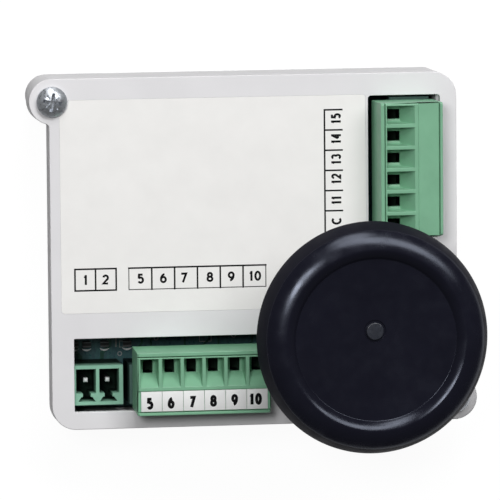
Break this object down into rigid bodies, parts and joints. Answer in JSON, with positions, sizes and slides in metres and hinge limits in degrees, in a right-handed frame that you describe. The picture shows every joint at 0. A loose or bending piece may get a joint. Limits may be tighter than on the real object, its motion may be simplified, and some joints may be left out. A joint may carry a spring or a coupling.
{
  "type": "access control unit",
  "caption": "Flat light grey access control box with pull-out screw terminal plugs in two windows, a blank label, corner lugs and a round black reader head on its face.",
  "frame": {"origin": "centre of the base shell's back face", "axes": "+X to the right of the face along its long side, +Y to the top of the face, +Z out of the face"},
  "size_m": [0.1044, 0.0864, 0.0456],
  "materials": {
    "housing": "fine matt moulded light grey",
    "label": "satin white sheet",
    "screw_steel": "zinc plated",
    "board_laminate": "dark green solder mask",
    "terminal_green": "satin light green",
    "tinned_pins": "tinned",
    "marker_white": "satin white",
    "clamp_steel": "nickel plated",
    "relay_black": "satin black",
    "capacitor_can": "bright can in a dark sleeve",
    "chip_black": "matt black",
    "crystal_can": "bright",
    "varistor_blue": "satin lacquer",
    "chip_part_grey": "matt with bright ends",
    "head_black": "fine satin black",
    "coil_copper": "enamelled wire",
    "led_lens": "clear resin",
    "guide_smoke": "smoked clear plastic",
    "grommet_rubber": "matt"
  },
  "bodies": {
    "root": {"base_shell": "housing", "front_cover": "housing", "label_sheet": "label", "lug_screws": "screw_steel", "board_screws": "screw_steel", "circuit_board": "board_laminate", "supply_header": "terminal_green", "reader_header": "terminal_green", "relay_header": "terminal_green", "supply_pins": "tinned_pins", "reader_pins": "tinned_pins", "relay_pins": "tinned_pins", "door_relay": "relay_black", "electrolytic_capacitors": "capacitor_can", "bridge_rectifier": "chip_black", "voltage_regulator": "chip_black", "microcontroller": "chip_black", "access_memory": "chip_black", "crystal": "crystal_can", "surge_varistors": "varistor_blue", "chip_resistors": "chip_part_grey"},
    "reader_plug": {"reader_plug_body": "terminal_green", "reader_plug_contacts": "tinned_pins", "reader_plug_markers": "marker_white"},
    "relay_plug": {"relay_plug_body": "terminal_green", "relay_plug_contacts": "tinned_pins"},
    "reader_head": {"head_shell": "head_black", "head_back": "head_black", "head_screws": "screw_steel", "head_board": "board_laminate", "reader_chip": "chip_black", "head_led": "led_lens", "light_guide": "guide_smoke", "antenna_coil": "coil_copper", "cable_grommet": "grommet_rubber"},
    "reader_clamp_screw_1": {"reader_clamp_screw_1": "clamp_steel"},
    "reader_clamp_cage_1": {"reader_clamp_cage_1": "clamp_steel"},
    "reader_clamp_screw_2": {"reader_clamp_screw_2": "clamp_steel"},
    "reader_clamp_cage_2": {"reader_clamp_cage_2": "clamp_steel"},
    "reader_clamp_screw_3": {"reader_clamp_screw_3": "clamp_steel"},
    "reader_clamp_cage_3": {"reader_clamp_cage_3": "clamp_steel"},
    "reader_clamp_screw_4": {"reader_clamp_screw_4": "clamp_steel"},
    "reader_clamp_cage_4": {"reader_clamp_cage_4": "clamp_steel"},
    "reader_clamp_screw_5": {"reader_clamp_screw_5": "clamp_steel"},
    "reader_clamp_cage_5": {"reader_clamp_cage_5": "clamp_steel"},
    "reader_clamp_screw_6": {"reader_clamp_screw_6": "clamp_steel"},
    "reader_clamp_cage_6": {"reader_clamp_cage_6": "clamp_steel"},
    "relay_clamp_screw_1": {"relay_clamp_screw_1": "clamp_steel"},
    "relay_clamp_cage_1": {"relay_clamp_cage_1": "clamp_steel"},
    "relay_clamp_screw_2": {"relay_clamp_screw_2": "clamp_steel"},
    "relay_clamp_cage_2": {"relay_clamp_cage_2": "clamp_steel"},
    "relay_clamp_screw_3": {"relay_clamp_screw_3": "clamp_steel"},
    "relay_clamp_cage_3": {"relay_clamp_cage_3": "clamp_steel"},
    "relay_clamp_screw_4": {"relay_clamp_screw_4": "clamp_steel"},
    "relay_clamp_cage_4": {"relay_clamp_cage_4": "clamp_steel"},
    "relay_clamp_screw_5": {"relay_clamp_screw_5": "clamp_steel"},
    "relay_clamp_cage_5": {"relay_clamp_cage_5": "clamp_steel"},
    "relay_clamp_screw_6": {"relay_clamp_screw_6": "clamp_steel"},
    "relay_clamp_cage_6": {"relay_clamp_cage_6": "clamp_steel"}
  },
  "joints": [
    {"name": "reader_plug_pull", "type": "slide", "parent": "root", "child": "reader_plug", "axis": [0, 0, 1], "range_m": [0, 0.009]},
    {"name": "relay_plug_pull", "type": "slide", "parent": "root", "child": "relay_plug", "axis": [0, 0, 1], "range_m": [0, 0.009]},
    {"name": "reader_head_lift", "type": "slide", "parent": "root", "child": "reader_head", "axis": [0, 0, 1], "range_m": [0, 0.04]},
    {"name": "reader_clamp_screw_1_turn", "type": "hinge", "parent": "reader_plug", "child": "reader_clamp_screw_1", "pos_m": [-0.0259, -0.0353, 0.02245], "axis": [0, 1, 0], "range_deg": [0, 1800]},
    {"name": "reader_clamp_cage_1_draw", "type": "slide", "parent": "reader_plug", "child": "reader_clamp_cage_1", "axis": [0, -1, 0], "range_m": [0, 0.0025]},
    {"name": "reader_clamp_screw_2_turn", "type": "hinge", "parent": "reader_plug", "child": "reader_clamp_screw_2", "pos_m": [-0.02082, -0.0353, 0.02245], "axis": [0, 1, 0], "range_deg": [0, 1800]},
    {"name": "reader_clamp_cage_2_draw", "type": "slide", "parent": "reader_plug", "child": "reader_clamp_cage_2", "axis": [0, -1, 0], "range_m": [0, 0.0025]},
    {"name": "reader_clamp_screw_3_turn", "type": "hinge", "parent": "reader_plug", "child": "reader_clamp_screw_3", "pos_m": [-0.01574, -0.0353, 0.02245], "axis": [0, 1, 0], "range_deg": [0, 1800]},
    {"name": "reader_clamp_cage_3_draw", "type": "slide", "parent": "reader_plug", "child": "reader_clamp_cage_3", "axis": [0, -1, 0], "range_m": [0, 0.0025]},
    {"name": "reader_clamp_screw_4_turn", "type": "hinge", "parent": "reader_plug", "child": "reader_clamp_screw_4", "pos_m": [-0.01066, -0.0353, 0.02245], "axis": [0, 1, 0], "range_deg": [0, 1800]},
    {"name": "reader_clamp_cage_4_draw", "type": "slide", "parent": "reader_plug", "child": "reader_clamp_cage_4", "axis": [0, -1, 0], "range_m": [0, 0.0025]},
    {"name": "reader_clamp_screw_5_turn", "type": "hinge", "parent": "reader_plug", "child": "reader_clamp_screw_5", "pos_m": [-0.00558, -0.0353, 0.02245], "axis": [0, 1, 0], "range_deg": [0, 1800]},
    {"name": "reader_clamp_cage_5_draw", "type": "slide", "parent": "reader_plug", "child": "reader_clamp_cage_5", "axis": [0, -1, 0], "range_m": [0, 0.0025]},
    {"name": "reader_clamp_screw_6_turn", "type": "hinge", "parent": "reader_plug", "child": "reader_clamp_screw_6", "pos_m": [-0.0005, -0.0353, 0.02245], "axis": [0, 1, 0], "range_deg": [0, 1800]},
    {"name": "reader_clamp_cage_6_draw", "type": "slide", "parent": "reader_plug", "child": "reader_clamp_cage_6", "axis": [0, -1, 0], "range_m": [0, 0.0025]},
    {"name": "relay_clamp_screw_1_turn", "type": "hinge", "parent": "relay_plug", "child": "relay_clamp_screw_1", "pos_m": [0.0414, 0.00606, 0.02245], "axis": [-1, 0, 0], "range_deg": [0, 1800]},
    {"name": "relay_clamp_cage_1_draw", "type": "slide", "parent": "relay_plug", "child": "relay_clamp_cage_1", "axis": [1, 0, 0], "range_m": [0, 0.0025]},
    {"name": "relay_clamp_screw_2_turn", "type": "hinge", "parent": "relay_plug", "child": "relay_clamp_screw_2", "pos_m": [0.0414, 0.01114, 0.02245], "axis": [-1, 0, 0], "range_deg": [0, 1800]},
    {"name": "relay_clamp_cage_2_draw", "type": "slide", "parent": "relay_plug", "child": "relay_clamp_cage_2", "axis": [1, 0, 0], "range_m": [0, 0.0025]},
    {"name": "relay_clamp_screw_3_turn", "type": "hinge", "parent": "relay_plug", "child": "relay_clamp_screw_3", "pos_m": [0.0414, 0.01622, 0.02245], "axis": [-1, 0, 0], "range_deg": [0, 1800]},
    {"name": "relay_clamp_cage_3_draw", "type": "slide", "parent": "relay_plug", "child": "relay_clamp_cage_3", "axis": [1, 0, 0], "range_m": [0, 0.0025]},
    {"name": "relay_clamp_screw_4_turn", "type": "hinge", "parent": "relay_plug", "child": "relay_clamp_screw_4", "pos_m": [0.0414, 0.0213, 0.02245], "axis": [-1, 0, 0], "range_deg": [0, 1800]},
    {"name": "relay_clamp_cage_4_draw", "type": "slide", "parent": "relay_plug", "child": "relay_clamp_cage_4", "axis": [1, 0, 0], "range_m": [0, 0.0025]},
    {"name": "relay_clamp_screw_5_turn", "type": "hinge", "parent": "relay_plug", "child": "relay_clamp_screw_5", "pos_m": [0.0414, 0.02638, 0.02245], "axis": [-1, 0, 0], "range_deg": [0, 1800]},
    {"name": "relay_clamp_cage_5_draw", "type": "slide", "parent": "relay_plug", "child": "relay_clamp_cage_5", "axis": [1, 0, 0], "range_m": [0, 0.0025]},
    {"name": "relay_clamp_screw_6_turn", "type": "hinge", "parent": "relay_plug", "child": "relay_clamp_screw_6", "pos_m": [0.0414, 0.03146, 0.02245], "axis": [-1, 0, 0], "range_deg": [0, 1800]},
    {"name": "relay_clamp_cage_6_draw", "type": "slide", "parent": "relay_plug", "child": "relay_clamp_cage_6", "axis": [1, 0, 0], "range_m": [0, 0.0025]}
  ],
  "couplings": [
    {"joint": "reader_clamp_screw_1_turn", "follows": "reader_clamp_cage_1_draw", "rad_per_m": 12566},
    {"joint": "reader_clamp_screw_2_turn", "follows": "reader_clamp_cage_2_draw", "rad_per_m": 12566},
    {"joint": "reader_clamp_screw_3_turn", "follows": "reader_clamp_cage_3_draw", "rad_per_m": 12566},
    {"joint": "reader_clamp_screw_4_turn", "follows": "reader_clamp_cage_4_draw", "rad_per_m": 12566},
    {"joint": "reader_clamp_screw_5_turn", "follows": "reader_clamp_cage_5_draw", "rad_per_m": 12566},
    {"joint": "reader_clamp_screw_6_turn", "follows": "reader_clamp_cage_6_draw", "rad_per_m": 12566},
    {"joint": "relay_clamp_screw_1_turn", "follows": "relay_clamp_cage_1_draw", "rad_per_m": 12566},
    {"joint": "relay_clamp_screw_2_turn", "follows": "relay_clamp_cage_2_draw", "rad_per_m": 12566},
    {"joint": "relay_clamp_screw_3_turn", "follows": "relay_clamp_cage_3_draw", "rad_per_m": 12566},
    {"joint": "relay_clamp_screw_4_turn", "follows": "relay_clamp_cage_4_draw", "rad_per_m": 12566},
    {"joint": "relay_clamp_screw_5_turn", "follows": "relay_clamp_cage_5_draw", "rad_per_m": 12566},
    {"joint": "relay_clamp_screw_6_turn", "follows": "relay_clamp_cage_6_draw", "rad_per_m": 12566}
  ]
}
